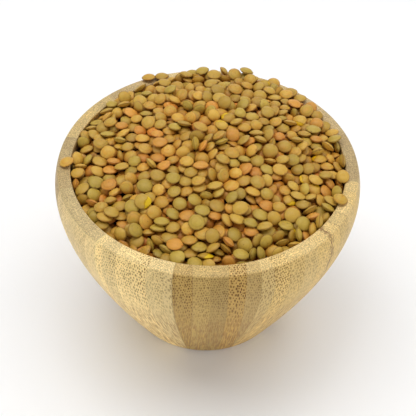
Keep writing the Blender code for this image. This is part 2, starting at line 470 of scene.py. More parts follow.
@dataclass(frozen=True)
class Bamboo:
    """Laminated bamboo: staves of glued strips, with dark fibre bundles in a pale ground.

    The fibres run up and outwards at one slope in each stave. Where the turned surface cuts across them
    they show as dots, and where it runs along them, low on the wall, as long streaks. Lengths are in
    millimetres. A pair of numbers is where a soft edge starts and ends, or the least of something and how
    much chance adds to it.
    """

    stave_turn: float = math.radians(30)
    stave_reach: float = 15.0
    first_edge: float = math.radians(-130.7)
    front_stave: int = 1
    fibre_lean: float = math.radians(25)
    strip_width: float = 6.35
    strip_start: float = 15.15
    strips_a_stave: int = 9
    rim_height: float = 83.0
    rim_edge: Span = (0.9, 0.25)
    dots_above: float = 62.0
    streaks_below: float = 44.0
    strongest_above: float = 78.0
    weakest_below: float = 50.0

    grain: Cloud = Cloud(1.5, 3.0, 0.65)
    broad: Cloud = Cloud(0.22)
    speckle: Cloud = Cloud(2.2, 2.0, 0.6)
    streaks: Cloud = Cloud(2.0)
    drift: Cloud = Cloud(0.35, 1.0)
    stains: Cloud = Cloud(0.9)
    frays: Cloud = Cloud(1.6)
    low_stretch: float = 0.75
    speckle_along: float = 0.5
    streak_layer: float = 0.2
    drift_along: float = 0.45

    grain_swing: float = 0.45
    low_grain_swing: float = 0.5
    broad_swing: float = 0.26
    speckle_swing: float = 0.7
    rim_speckle_swing: float = 1.5
    low_speckle_loss: float = 0.4
    streak_edge: Span = (0.48, 0.62)
    streak_strength: float = 0.08
    low_streak_strength: float = 0.52
    strip_shade: Span = (0.9, 0.16)
    greyest: float = 0.4
    rim_fade: float = 0.3
    # How much paler the front strips are on the rim's top: partly their own tone, partly painted light.
    front_rim_lift: float = 0.3
    rim_dulling: float = 0.88

    strip_dots: Span = (0.45, 0.75)
    paler_loss: float = 1.5
    bundle_count: Span = (5.5, 2.4)
    rim_loss: float = 0.65
    strong_dots: Span = (0.8, 1.0)
    low_loss: float = 0.5
    dots_within: Span = (0.65, 0.45)
    most_marked: float = 0.88
    mark_boost: float = 1.15
    crowding: Span = (0.15, 0.3)
    wander: float = 0.35
    stray: float = 0.5
    name_stride: float = 13.1
    bundle_draw: float = 5.3
    row_share: float = 0.74
    bundle_share: float = 0.22
    bundle_size: Span = (0.7, 0.8)
    bundle_edge: Span = (0.7, 1.35)

    seam_edge: Span = (0.22, 0.42)
    unseen_tone: float = 0.3
    seam_contrast: float = 1.1
    least_seam: float = 0.15
    stain_clouds: Span = (0.45, 0.62)
    stain_reach: Span = (0.3, 2.6)
    stain_tones: Span = (0.8, 1.0)
    stain_strength: float = 0.7
    line_edge: Span = (0.12, 0.3)
    line_strength: Span = (0.04, 0.4)
    line_chosen: Span = (0.4, 1.0)
    line_fray: float = 0.5
    front_joint: float = 41.9
    front_joint_strip: int = 1
    joint_height: Span = (12.0, 52.0)
    joint_chosen: Span = (0.74, 0.76)
    joint_edge: Span = (0.1, 0.28)
    joint_fray: float = 0.4
    joint_strength: float = 0.6
    most_fray: float = 0.3

    # The rim top's tone: partly its own, partly painted light from above.
    rim_pale: Rgb = seen(214, 190, 140)
    dot_tint: Rgb = seen(146, 122, 66)
    streak_tint: Rgb = seen(163, 124, 86)
    streak_colour: Rgb = seen(140, 90, 38)
    grey_strip: Rgb = seen(200, 178, 128)
    seam_pale: Rgb = seen(240, 222, 150)
    seam_dark: Rgb = seen(118, 80, 44)
    roughness: float = 0.5
    roughness_swing: float = 0.2
    mark_roughness: float = 0.12
    grain_height: float = 0.25
    speckle_height: float = 0.15
    mark_depth: float = 0.35
    seam_depth: float = 0.7
    line_depth: float = 0.6
    relief_depth: float = 0.00012
    sheen: float = 0.35

    def build(self) -> bpy.types.Material:
        """Mixes the finish.

        Returns:
            The material.
        """
        material = bpy.data.materials.new("laminated_bamboo")
        bench = Bench(material)
        spot = self.find_spot(bench)
        paler = self.paler_at(spot)
        marks = self.fibre_marks(spot, paler)
        grain = spot.noise(self.grain, 1 - spot.low * self.low_stretch)
        speckle = spot.noise(self.speckle, along=self.speckle_along)
        shade = 1 + grain.swing(self.grain_swing + spot.low * self.low_grain_swing)
        shade = shade + spot.noise(self.broad).swing(self.broad_swing)
        speckle_swing = self.speckle_swing + spot.rim * self.rim_speckle_swing
        shade = shade + speckle.swing(speckle_swing - spot.low * self.low_speckle_loss)

        colour = bench.scaled(self.ground(spot, paler), shade)
        mark_tint = bench.mix(spot.low, self.dot_tint, self.streak_tint)
        colour = bench.mix(marks, colour, mark_tint, "MULTIPLY")
        streaks = bench.step(spot.noise(self.streaks, self.streak_layer), *self.streak_edge)
        streaks = streaks * (self.streak_strength + spot.low * self.low_streak_strength)
        colour = bench.mix(streaks, colour, self.streak_colour)
        colour, seams = self.add_seams(spot, colour)
        colour, lines = self.add_lines(spot, colour)

        lines = bench.largest(seams * self.seam_depth, lines)
        relief = grain * self.grain_height + speckle * self.speckle_height
        relief = relief - marks * self.mark_depth - lines * self.line_depth
        rough = self.roughness + grain.swing(self.roughness_swing) + marks * self.mark_roughness
        bench.finish(colour, rough, relief, self.relief_depth, self.sheen)
        return material

    def find_spot(self, bench: Bench) -> Spot:
        """Works out where a place on the surface lies in the staves and strips.

        Args:
            bench: Where the finish is mixed.

        Returns:
            The place.
        """
        x, y, z = bench.parts(bench.scaled(bench.position(), 1 / MM))
        turn = bench.wrap((bench.maths("ARCTAN2", y, x) - self.first_edge) / self.stave_turn, len(STAVES))
        stave = turn.floor()
        middle = (stave + 0.5) * self.stave_turn + self.first_edge
        cosine, sine = bench.maths("COSINE", middle), bench.maths("SINE", middle)
        across = y * cosine - x * sine
        outward = x * cosine + y * sine
        lean_cosine, lean_sine = math.cos(self.fibre_lean), math.sin(self.fibre_lean)
        layer = outward * lean_cosine - z * lean_sine
        along = outward * lean_sine + z * lean_cosine
        shift = bench.listed(stave, [each.shift / self.strip_width for each in STAVES])
        strip_turn = (across + self.strip_start) / self.strip_width + shift
        strip = strip_turn.floor()
        name = stave * self.strips_a_stave + strip
        is_front = bench.is_number(stave, self.front_stave)
        rim = bench.step(z, *(self.rim_height - below for below in self.rim_edge))
        low = bench.step(-z, -self.dots_above, -self.streaks_below)
        within = strip_turn - strip
        fibres = (across, layer, along)
        return Spot(bench, x, y, z, turn, stave, *fibres, strip, within, name, is_front, rim, low)

    def paler_at(self, spot: Spot) -> Field:
        """How much paler a place is than the middle of its stave, as a share."""
        sides = spot.bench.listed(spot.stave, [0.5 + stave.paler_side for stave in STAVES])
        return sides.swing(spot.across) / self.stave_reach

    def ground(self, spot: Spot, paler: Field) -> Field:
        """The bamboo's colour between its fibre bundles.

        Args:
            spot: The place.
            paler: How much paler it is than the middle of its stave.

        Returns:
            The colour.
        """
        bench = spot.bench
        tint, _, _ = spot.draw(Draw.TONE)
        _, grey, _ = spot.draw(Draw.BUNDLES)
        others = bench.lookup(spot.stave, [stave.ground for stave in STAVES])
        others = bench.mix(grey * self.greyest, others, self.grey_strip)
        darkest, lighter = self.strip_shade
        others = bench.scaled(others, (darkest + tint * lighter) * (1 + paler * (1 - spot.rim)))
        front = bench.lookup(spot.strip, [strip.ground for strip in FRONT_STRIPS])
        # The rim's top is blended towards a pale tan and, on the front strips, lifted: partly the rim's own
        # tone, partly painted light from above.
        front = bench.scaled(front, 1 + spot.rim * self.front_rim_lift)
        ground = bench.mix(spot.rim * self.rim_fade, bench.mix(spot.is_front, others, front), self.rim_pale)
        half_light = bench.listed(spot.stave, [stave.rim_light / 2 for stave in STAVES])
        return bench.scaled(ground, 1 - spot.rim * (1 - half_light * (2 * self.rim_dulling)))

    def fibre_marks(self, spot: Spot, paler: Field) -> Field:
        """How dark the cut fibre bundles are at a place.

        Args:
            spot: The place.
            paler: How much paler it is than the middle of its stave.

        Returns:
            The darkness, from 0 to 1.
        """
        bench = spot.bench
        _, bold, lean = spot.draw(Draw.TONE)
        fineness, _, _ = spot.draw(Draw.BUNDLES)
        most = max(strip.bundles for strip in FRONT_STRIPS)
        traits = [(strip.dots, strip.bundles / most, 0) for strip in FRONT_STRIPS]
        front_dots, front_bundles, _ = bench.parts(bench.lookup(spot.strip, traits))
        stave_dots = bench.listed(spot.stave, [stave.dots for stave in STAVES])
        faintest, bolder = self.strip_dots
        dots = stave_dots * (faintest + bold * bolder) * (1 - paler * self.paler_loss)
        dots = dots + spot.is_front * (front_dots - dots)
        fewest, more = self.bundle_count
        count = (fewest + fineness * more).floor()
        count = bench.maths("ROUND", count + spot.is_front * (front_bundles * most - count))
        kept_on_rim = bench.step(dots, *self.strong_dots) * self.rim_loss
        on_rim = 1 - spot.rim * (self.rim_loss - kept_on_rim)
        fade = 1 - bench.step(-spot.z, -self.strongest_above, -self.weakest_below) * self.low_loss
        at_first, further = self.dots_within
        strength = bench.maths("MINIMUM", dots * (at_first + spot.within * further), self.most_marked)
        return bench.clamp(strength * self.bundles_at(spot, lean, count) * on_rim * fade * self.mark_boost)

    def bundles_at(self, spot: Spot, lean: Field, count: Field) -> Field:
        """The cut ends of the fibre bundles, in rows that are set half a step apart.

        Args:
            spot: The place.
            lean: How far the bundles crowd to one side of the strip, from 0 to 1.
            count: How many bundles fit across the strip.

        Returns:
            1 in a bundle and 0 between them.
        """
        bench = spot.bench
        drift_x, drift_y, _ = bench.parts(spot.noise(self.drift, along=self.drift_along, output=1))
        least_crowd, more_crowd = self.crowding
        crowd = least_crowd + lean * more_crowd
        place = spot.within + drift_x.swing(self.wander / self.strip_width)
        layer = spot.layer + drift_y.swing(self.wander * 2)
        row = layer * count / (self.strip_width * self.row_share)
        row_number = row.floor()
        column = (place * (1 - crowd) + place * place * crowd) * count + bench.wrap(row_number, 2) * 0.5
        column_number = column.floor()
        key = bench.vector(column_number + spot.name * self.name_stride, row_number, self.bundle_draw)
        stray_x, stray_y, size = bench.chance(key)
        off_x = column - column_number - 0.5 - stray_x.swing(self.stray)
        off_y = (row - row_number - 0.5 - stray_y.swing(self.stray)) * self.row_share
        smallest, larger = self.bundle_size
        reach = self.bundle_share * (smallest + size * larger)
        return 1 - bench.step(bench.length(off_x, off_y), *(reach * part for part in self.bundle_edge))

    def add_seams(self, spot: Spot, colour: Field) -> tuple[Field, Field]:
        """Draws the glue lines between the staves, with the stain beside the darkest.

        Args:
            spot: The place.
            colour: The bamboo's colour so far.

        Returns:
            The colour with its seams, and the seams alone from 0 to 1.
        """
        bench = spot.bench
        nearest = (spot.turn + 0.5).floor()
        radius = bench.length(spot.x, spot.y)
        beside = bench.maths("ABSOLUTE", spot.turn - nearest) * self.stave_turn * radius
        tone = bench.listed(bench.wrap(nearest, len(STAVES)), [stave.seam.value for stave in STAVES])
        seam = bench.fall(beside + self.fray(spot), *self.seam_edge)
        cloud = bench.step(spot.noise(self.stains), *self.stain_clouds)
        stain = bench.fall(beside, *self.stain_reach) * cloud
        stain = stain * bench.step(tone, *self.stain_tones) * self.stain_strength
        strength = bench.maths("ABSOLUTE", tone - self.unseen_tone) * self.seam_contrast + self.least_seam
        colour = bench.mix(seam * strength, colour, bench.mix(tone, self.seam_pale, self.seam_dark))
        return bench.mix(bench.clamp(stain), colour, self.seam_dark), seam

    def add_lines(self, spot: Spot, colour: Field) -> tuple[Field, Field]:
        """Draws the fine glue lines between the strips, and the few end joints.

        Args:
            spot: The place.
            colour: The bamboo's colour so far.

        Returns:
            The colour with its lines, and the lines alone from 0 to 1.
        """
        bench = spot.bench
        fray = self.fray(spot)
        to_edge = bench.maths("MINIMUM", spot.within, 1 - spot.within) * self.strip_width
        edge_name = (spot.name + spot.within + 0.5).floor()
        line_chance, _, _ = bench.chance(bench.vector(edge_name, *Draw.LINE.value))
        faintest, darker = self.line_strength
        line = bench.fall(to_edge + fray * self.line_fray, *self.line_edge)
        line = line * (faintest + bench.step(line_chance, *self.line_chosen) * darker)

        height_chance, chosen, _ = spot.draw(Draw.JOINT)
        own_joint = spot.is_front * bench.is_number(spot.strip, self.front_joint_strip)
        lowest, higher = self.joint_height
        height = lowest + height_chance * higher
        height = height * (1 - own_joint) + own_joint * self.front_joint
        has_joint = bench.largest(own_joint, bench.step(chosen, *self.joint_chosen) * (1 - spot.is_front))
        to_joint = bench.maths("ABSOLUTE", spot.z - height)
        joint = bench.fall(to_joint + fray * self.joint_fray, *self.joint_edge)
        lines = bench.largest(line, joint * has_joint * self.joint_strength)
        return bench.mix(lines, colour, self.seam_dark), lines

    def fray(self, spot: Spot) -> Field:
        """How far a glue line's edge wanders with the fibres, in millimetres."""
        return spot.noise(self.frays) * self.most_fray


@dataclass
class BowlForm:
    """The turned bowl, in the sizes of its solid but with a finer step."""

    rim_radius: float = 0.060
    rim_width: float = 0.005
    height: float = 0.083
    foot_radius: float = 0.0372
    floor_thickness: float = 0.009
    rim_rounding: float = 0.0006
    foot_rounding: float = 0.0015
    outer_shoulder: Span = (0.0644, 0.0727)
    outer_belly: Span = (0.0637, 0.0570)
    inner_shoulder: Span = (0.0600, 0.0550)
    inner_belly: Span = (0.0380, 0.009)
    sides: int = 192
    outer_steps: int = 40
    inner_steps: int = 24
    corner_steps: int = 5
    floor_rings: int = 8
    corner_pull: float = 0.45
    finish: Bamboo = field(default_factory=Bamboo)

    @staticmethod
    def curve(shape: tuple[Any, Any, Any, Any], steps: int) -> Section:
        """Points on a cubic curve.

        Args:
            shape: Its four control points.
            steps: How many steps it is cut into.

        Returns:
            The points, both ends included.
        """
        points = []
        for i in range(steps + 1):
            t = i / steps
            weights = ((1 - t) ** 3, 3 * (1 - t) ** 2 * t, 3 * (1 - t) * t**2, t**3)
            points.append(tuple(sum(w * p[k] for w, p in zip(weights, shape)) for k in range(2)))
        return points

    def corner(self, here: Any, before: Any, after: Any, radius: float) -> Section:
        """A corner eased with a short curve.

        Args:
            here: The sharp corner.
            before: A point before it.
            after: A point after it.
            radius: How far from the corner the curve starts and ends.

        Returns:
            The curve's points.
        """
        sharp = Vector(here)
        start = sharp + (Vector(before) - sharp).normalized() * radius
        end = sharp + (Vector(after) - sharp).normalized() * radius
        pulls = (sharp.lerp(start, self.corner_pull), sharp.lerp(end, self.corner_pull))
        return self.curve((start, *pulls, end), self.corner_steps)

    def section(self) -> Section:
        """The bowl's section.

        Returns:
            Radius and height, from the cavity's middle over the rim to the middle of the base.
        """
        cavity_top = (self.rim_radius - self.rim_width, self.height)
        inner = ((0, self.floor_thickness), self.inner_belly, self.inner_shoulder, cavity_top)
        cavity = self.curve(inner, self.inner_steps)
        rim_edge, foot_edge = (self.rim_radius, self.height), (self.foot_radius, 0.0)
        outside = self.curve((rim_edge, self.outer_shoulder, self.outer_belly, foot_edge), self.outer_steps)
        section = cavity[:-1]
        section += self.corner(cavity_top, cavity[-2], rim_edge, self.rim_rounding)
        section += self.corner(rim_edge, cavity_top, outside[1], self.rim_rounding)
        section += outside[1:-1]
        section += self.corner(foot_edge, outside[-2], (0, 0), self.foot_rounding)
        inner_foot = section[-1][0]
        section += [(inner_foot * (1 - i / self.floor_rings), 0.0) for i in range(1, self.floor_rings + 1)]
        return section

    def build(self) -> bpy.types.Object:
        """Turns the bowl.

        Returns:
            The bowl's mesh object, on its body and in place of its solid.
        """
        bowl = turned("bowl_of_bamboo", self.section(), self.sides)
        self.dress(bowl)
        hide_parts("bowl")
        return settle_piece(bowl)

    def dress(self, bowl: bpy.types.Object) -> None:
        """Gives the bowl its bamboo."""
        bowl.data.materials.append(self.finish.build())
        bowl.data.shade_smooth()


def turned(name: str, section: Section, sides: int) -> bpy.types.Object:
    """A closed body turned about Z.

    Args:
        name: The object's name.
        section: Radius and height from axis to axis.
        sides: How many steps the full turn has.

    Returns:
        The object.
    """
    body = bmesh.new()
    rings = []
    for radius, height in section:
        if radius < ON_AXIS:
            rings.append([body.verts.new((0, 0, height))])
            continue
        angles = [math.tau * k / sides for k in range(sides)]
        rings.append([body.verts.new((radius * math.cos(a), radius * math.sin(a), height)) for a in angles])
    for first, second in zip(rings, rings[1:]):
        for k in range(sides):
            corners = [first[k % len(first)], second[k % len(second)]]
            corners += [second[(k + 1) % len(second)], first[(k + 1) % len(first)]]
            body.faces.new(list(dict.fromkeys(corners)))
    bmesh.ops.recalc_face_normals(body, faces=body.faces)
    mesh = bpy.data.meshes.new(name)
    body.to_mesh(mesh)
    body.free()
    thing = bpy.data.objects.new(name, mesh)
    bpy.context.scene.collection.objects.link(thing)
    return thing


def settle_piece(piece: bpy.types.Object) -> bpy.types.Object:
    """Puts a finished piece on the part's body.

    Args:
        piece: The piece.

    Returns:
        The same piece.
    """
    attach(piece, BODY)
    triangles = sum(len(face.vertices) - 2 for face in piece.data.polygons)
    log.info("%s: %d triangles", piece.name, triangles)
    return piece


@dataclass
class HeapForm:
    """The heap's upper surface, leaning a little to the back, as in the solid."""

    bowl: BowlForm
    edge_rise: float = 0.0015
    lean_rise: float = 0.0040
    lean_direction: float = math.radians(78)
    crest_rise: float = 0.0085

    @property
    def rim_height(self) -> float:
        """The height of the bowl's rim."""
        return self.bowl.height

    @property
    def cavity_radius(self) -> float:
        """The cavity's radius at the rim."""
        return self.bowl.rim_radius - self.bowl.rim_width

    def dome(self, share: float) -> float:
        """How far a level heap stands over the rim, at this share of the way out to the wall."""
        return self.edge_rise + self.crest_rise * (1 - share**2)

    def lean(self, x: float, y: float) -> float:
        """How much the lean adds at a place."""
        across = x * math.cos(self.lean_direction) + y * math.sin(self.lean_direction)
        return self.lean_rise * across / self.cavity_radius

    def rise(self, x: float, y: float) -> float:
        """How far the surface stands over the rim.

        Args:
            x: Place to the right.
            y: Place to the back.

        Returns:
            The height over the rim.
        """
        return self.dome(min(1.0, math.hypot(x, y) / self.cavity_radius)) + self.lean(x, y)


def sunflower(number: int, count: int, reach: float, turn: float = 0.0) -> tuple[float, float]:
    """One of many spots spread evenly over a disc, as the seeds of a sunflower are.

    Args:
        number: Which spot, counted from the middle.
        count: How many spots there are.
        reach: The disc's radius.
        turn: How far the whole pattern is turned.

    Returns:
        The spot's place.
    """
    radius = reach * math.sqrt((number + 0.5) / count)
    angle = number * GOLDEN_ANGLE + turn
    return radius * math.cos(angle), radius * math.sin(angle)


@dataclass(frozen=True)
class PaintedShadeBedding:
    """The finish of the lentils deep in the gaps: a dark brown that is painted shade."""

    pale: Rgb = seen(104, 50, 10)
    deep: Rgb = seen(58, 22, 3)
    seeds_a_metre: float = 330.0
    seed_unevenness: float = 0.9
    seed_edge: Span = (0.28, 0.62)
    clouds: Cloud = Cloud(900.0, 3.0)
    shade: Span = (0.85, 0.3)
    roughness: Span = (0.5, 0.2)
    cloud_height: float = 0.1
    relief_depth: float = 0.0006
    sheen: float = 0.3

    def build(self) -> bpy.types.Material:
        """Mixes the finish.

        Returns:
            The material.
        """
        material = bpy.data.materials.new("painted_shade_lentils")
        bench = Bench(material)
        place = bench.position()
        sockets = {"Vector": place, "Scale": self.seeds_a_metre, "Randomness": self.seed_unevenness}
        margin = bench.step(bench.node("ShaderNodeTexVoronoi", sockets=sockets), *self.seed_edge)
        cloud = bench.noise(place, self.clouds)
        darkest, lighter = self.shade
        # Painted shade: the bed's dark browns stand for the shadow in the deep gaps, darkest in the margins
        # between its lenses.
        colour = bench.scaled(bench.mix(margin, self.pale, self.deep), darkest + cloud * lighter)
        smoothest, rougher = self.roughness
        relief = 1 - margin + cloud * self.cloud_height
        bench.finish(colour, smoothest + cloud * rougher, relief, self.relief_depth, self.sheen)
        return material


@dataclass
class Bed:
    """What fills the bowl below the loose lentils: a dome of lentils pressed side by side."""

    heap: HeapForm
    depth: float = 0.0080
    gap: float = 0.0005
    side_drop: float = 0.009
    sides: int = 120
    rings: int = 40
    wall_steps: int = 12
    bump_count: int = 420
    bump_radius: float = 0.0032
    bump_height: float = 0.0011
    finish: PaintedShadeBedding = field(default_factory=PaintedShadeBedding)

    def cavity_at(self, height: float) -> float:
        """The cavity's radius at a height."""
        points = self.heap.bowl.section()[: self.heap.bowl.inner_steps]
        return float(np.interp(height, [p[1] for p in points], [p[0] for p in points]))

    def dome_section(self) -> Section:
        """The bed's section.

        Returns:
            Radius and height, from the top of the dome down beside the wall to the axis.
        """
        edge_height = self.heap.rim_height - self.side_drop
        foot_height = self.heap.bowl.floor_thickness + self.gap
        edge = self.cavity_at(edge_height) - self.gap
        dome = []
        for i in range(self.rings + 1):
            radius = edge * i / self.rings
            rise = self.heap.dome(radius / self.heap.cavity_radius)
            dome.append((radius, self.heap.rim_height + rise - self.depth))
        wall = []
        for i in range(1, self.wall_steps):
            height = edge_height - (edge_height - foot_height) * i / self.wall_steps
            wall.append((self.cavity_at(height) - self.gap * 2, height))
        return dome + wall + [(0.0, foot_height)]

    def build(self) -> bpy.types.Object:
        """Makes the bed, in place of the lentils' solid.

        Returns:
            The bed's mesh object.
        """
        bed = turned("lentil_bed", self.dome_section(), self.sides)
        self.shape_top(bed)
        self.dress(bed)
        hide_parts("lentils")
        return settle_piece(bed)

    def dress(self, bed: bpy.types.Object) -> None:
        """Gives the bed its finish."""
        bed.data.materials.append(self.finish.build())
        bed.data.shade_smooth()

    def shape_top(self, bed: bpy.types.Object) -> None:
        """Tips the dome as the heap leans, and raises a lens for each lentil in it.

        Args:
            bed: The bed's mesh object.
        """
        spots = KDTree(self.bump_count)
        for i in range(self.bump_count):
            spots.insert((*sunflower(i, self.bump_count, self.heap.cavity_radius), 0), i)
        spots.balance()
        limit = self.heap.rim_height - self.side_drop + MM
        for vertex in bed.data.vertices:
            x, y, z = vertex.co
            if z <= limit:
                continue
            _, _, away = spots.find((x, y, 0))
            lens = max(0.0, 1 - (away / self.bump_radius) ** 2)
            vertex.co.z += self.heap.lean(x, y) + (lens - 0.5) * self.bump_height


@dataclass
class Rest:
    """A lentil as it lies: its place and turn, and its half sizes."""

    pose: Matrix
    half_length: float
    half_width: float
    half_thickness: float


@dataclass
class Pour:
    """Drops lentils on to the bed and on to the rim, and lets them settle as rigid bodies.

    Lengths are scaled up while it runs, because the solver is made for larger things. The lentils spilled
    on to the rim are named one by one, each with an angle in degrees and a radius in millimetres.
    """

    heap: HeapForm
    bed_depth: float
    count: int = 810
    layers: int = 3
    steps: int = 28
    substeps: int = 10
    solver_rounds: int = 12
    scale: float = 100.0
    half_length: float = 0.00295
    half_thickness: float = 0.0013
    length_range: Span = (0.9, 1.1)
    width_range: Span = (0.94, 1.0)
    thickness_range: Span = (0.9, 1.12)
    usual_tilt: float = math.radians(11)
    friction: float = 0.35
    cup_friction: float = 0.8
    mound_friction: float = 0.9
    slide_damping: float = 0.3
    turn_damping: float = 0.95
    layer_gap: float = 0.0062
    layer_turn: float = 1.7
    first_gap: float = 0.004
    wall_gap: float = 0.0033
    side_jitter: float = 0.0008
    height_jitter: float = 0.0015
    cup_depth: float = 0.03
    cup_base: float = 0.02
    cup_base_radius: float = 0.045
    cup_taper: float = 0.0002
    cup_shoulder: Span = (0.002, 0.01)
    mound_depth: float = 0.029
    mound_steps: int = 10
    turned_sides: int = 64
    hull_section: tuple[Span, ...] = ((0.0, 1.0), (0.6, 0.74), (0.97, 0.16))
    hull_sides: int = 10
    spilled: tuple[Span, ...] = (
        (186, 55.8), (118, 56.0), (110, 55.4), (104, 54.2), (98, 55.0), (92, 54.0), (87, 54.6), (80, 54.0),
        (74, 55.0), (67, 54.2), (12, 54.6), (-5, 54.4),
    )
    spill_height: float = 0.0022
    spill_tilt: float = 0.25
    lost_below: float = 0.012
    lost_beyond: float = 0.0605
    random_seed: int = 4

    def scaled_up(self, name: str, section: Section) -> bpy.types.Object:
        """A turned body at the solver's scale."""
        return turned(name, [(r * self.scale, z * self.scale) for r, z in section], self.turned_sides)

    def cup(self) -> bpy.types.Object:
        """Turns the bowl's inside and rim, as the lentils meet them.

        Returns:
            The cup, at the solver's scale.
        """
        inner, outer, top = self.heap.cavity_radius, self.heap.bowl.rim_radius, self.heap.rim_height
        low = top - self.cup_depth
        base = low - self.cup_base
        beside, below = self.cup_shoulder
        section = [(0, low), (inner - self.cup_taper, low), (inner, top), (outer, top)]
        section += [(outer + beside, top - below), (self.cup_base_radius, base), (0, base)]
        return self.scaled_up("pour_cup", section)

    def mound(self) -> bpy.types.Object:
        """Turns the top of the bed, as the lentils meet it.

        Returns:
            The mound, at the solver's scale.
        """
        radius, top = self.heap.cavity_radius, self.heap.rim_height
        shares = [i / self.mound_steps for i in range(self.mound_steps + 1)]
        section = [(radius * share, top + self.heap.dome(share) - self.bed_depth) for share in shares]
        section += [(radius, top - self.mound_depth), (0, top - self.mound_depth)]
        mound = self.scaled_up("pour_mound", section)
        for vertex in mound.data.vertices:
            if vertex.co.z > (top - self.mound_depth / 2) * self.scale:
                lean = self.heap.lean(vertex.co.x / self.scale, vertex.co.y / self.scale)
                vertex.co.z += lean * self.scale
        return mound

    def hull(self) -> bpy.types.Mesh:
        """Makes a plain lentil of unit size, for the solver alone.

        Returns:
            Its mesh.
        """
        body = bmesh.new()
        for sign in (1, -1):
            for radius, height in self.hull_section:
                for k in range(self.hull_sides if radius else 1):
                    angle = math.tau * k / self.hull_sides
                    body.verts.new((radius * math.cos(angle), radius * math.sin(angle), height * sign))
        bmesh.ops.convex_hull(body, input=body.verts)
        mesh = bpy.data.meshes.new("pour_seed")
        body.to_mesh(mesh)
        body.free()
        return mesh

    def starts(self, rng: random.Random) -> list[Rest]:
        """Where each lentil starts: in layers over the bed, and a few over the rim.

        Args:
            rng: The random numbers to draw from.

        Returns:
            The lentils, in the air.
        """
        found = []
        per_layer = self.count // self.layers
        reach = self.heap.cavity_radius - self.wall_gap
        for layer in range(self.layers):
            for i in range(per_layer):
                x, y = sunflower(i, per_layer, reach, layer * self.layer_turn)
                x += rng.uniform(-1, 1) * self.side_jitter
                y += rng.uniform(-1, 1) * self.side_jitter
                height = self.heap.rim_height + self.heap.rise(x, y) - self.bed_depth + self.first_gap
                height += layer * self.layer_gap + rng.uniform(0, 1) * self.height_jitter
                found.append(self.seed_at(rng, Vector((x, y, height)), rng.gauss(0, self.usual_tilt)))
        for degrees, radius in self.spilled:
            angle = math.radians(degrees)
            place = Vector((radius * MM * math.cos(angle), radius * MM * math.sin(angle), 0))
            place.z = self.heap.rim_height + self.spill_height
            found.append(self.seed_at(rng, place, rng.uniform(0, self.spill_tilt)))
        return found

    def seed_at(self, rng: random.Random, place: Vector, tilt: float) -> Rest:
        """A lentil of a random size and turn.

        Args:
            rng: The random numbers to draw from.
            place: Where its middle is.
            tilt: How far it is tipped.

        Returns:
            The lentil.
        """
        length = self.half_length * rng.uniform(*self.length_range)
        width = length * rng.uniform(*self.width_range)
        thickness = self.half_thickness * rng.uniform(*self.thickness_range)
        turn = Matrix.Rotation(rng.uniform(0, math.tau), 4, "Z") @ Matrix.Rotation(tilt, 4, "X")
        turn = turn @ Matrix.Rotation(rng.uniform(0, math.tau), 4, "Z")
        return Rest(Matrix.Translation(place) @ turn, length, width, thickness)

    def open_world(self) -> None:
        """Starts the solver with a collection of its own."""
        scene = bpy.context.scene
        bpy.ops.rigidbody.world_add()
        world = scene.rigidbody_world
        world.collection = bpy.data.collections.new("pour_bodies")
        scene.collection.children.link(world.collection)
        world.substeps_per_frame = self.substeps
        world.solver_iterations = self.solver_rounds
        world.point_cache.frame_start = 1
        world.point_cache.frame_end = self.steps + 1

    @staticmethod
    def add_body(thing: bpy.types.Object, kind: str, shape: str, friction: float) -> None:
        """Makes an object a rigid body.

        Args:
            thing: The object.
            kind: ACTIVE or PASSIVE.
            shape: The shape that it collides as.
            friction: How rough it is.
        """
        bpy.context.scene.rigidbody_world.collection.objects.link(thing)
        with bpy.context.temp_override(object=thing, active_object=thing, selected_objects=[thing]):
            if thing.rigid_body is None:
                bpy.ops.rigidbody.object_add(type=kind)
        body = thing.rigid_body
        body.type = kind
        body.collision_shape = shape
        body.friction = friction
        body.restitution = 0.0
        body.use_margin = True
        body.collision_margin = 0.0

    def settle(self) -> list[Rest]:
        """Runs the pour.

        Returns:
            The lentils that stayed on the heap or the rim, as they lie.
        """
        starts = self.starts(random.Random(self.random_seed))
        self.open_world()
        cup, mound = self.cup(), self.mound()
        self.add_body(cup, "PASSIVE", "MESH", self.cup_friction)
        self.add_body(mound, "PASSIVE", "MESH", self.mound_friction)
        bodies = self.drop_bodies(starts)
        for step in range(1, self.steps + 1):
            bpy.context.scene.frame_set(step)
        graph = bpy.context.evaluated_depsgraph_get()
        poses = [body.evaluated_get(graph).matrix_world.copy() for body in bodies]
        self.close_world(bodies + [cup, mound])
        found = []
        for start, pose in zip(starts, poses):
            place = pose.to_translation() / self.scale
            if place.z < self.heap.rim_height - self.lost_below or place.xy.length > self.lost_beyond:
                continue
            turn = pose.to_quaternion().to_matrix().to_4x4()
            found.append(replace(start, pose=Matrix.Translation(place) @ turn))
        log.info("pour: %d lentils dropped, %d stayed", len(starts), len(found))
        return found

    def drop_bodies(self, starts: list[Rest]) -> list[bpy.types.Object]:
        """One rigid body for each lentil.

        Args:
            starts: The lentils in the air.

        Returns:
            The bodies.
        """
        hull = self.hull()
        bodies: list[bpy.types.Object] = []
        for start in starts:
            mesh = hull.copy()
            size = Vector((start.half_length, start.half_width, start.half_thickness)) * self.scale
            mesh.transform(Matrix.Diagonal((*size, 1)))
            if bodies:
                body = bodies[0].copy()
                body.data = mesh
            else:
                body = self.first_body(mesh)
            pose = start.pose.copy()
            pose.translation = start.pose.to_translation() * self.scale
            body.matrix_world = pose
            bodies.append(body)
        bpy.data.meshes.remove(hull)
        return bodies

    def first_body(self, mesh: bpy.types.Mesh) -> bpy.types.Object:
        """The rigid body that the others are copied from.

        Args:
            mesh: Its mesh.

        Returns:
            The body.
        """
        body = bpy.data.objects.new("pour_body", mesh)
        bpy.context.scene.collection.objects.link(body)
        self.add_body(body, "ACTIVE", "CONVEX_HULL", self.friction)
        body.rigid_body.mass = 1.0
        body.rigid_body.linear_damping = self.slide_damping
        body.rigid_body.angular_damping = self.turn_damping
        return body

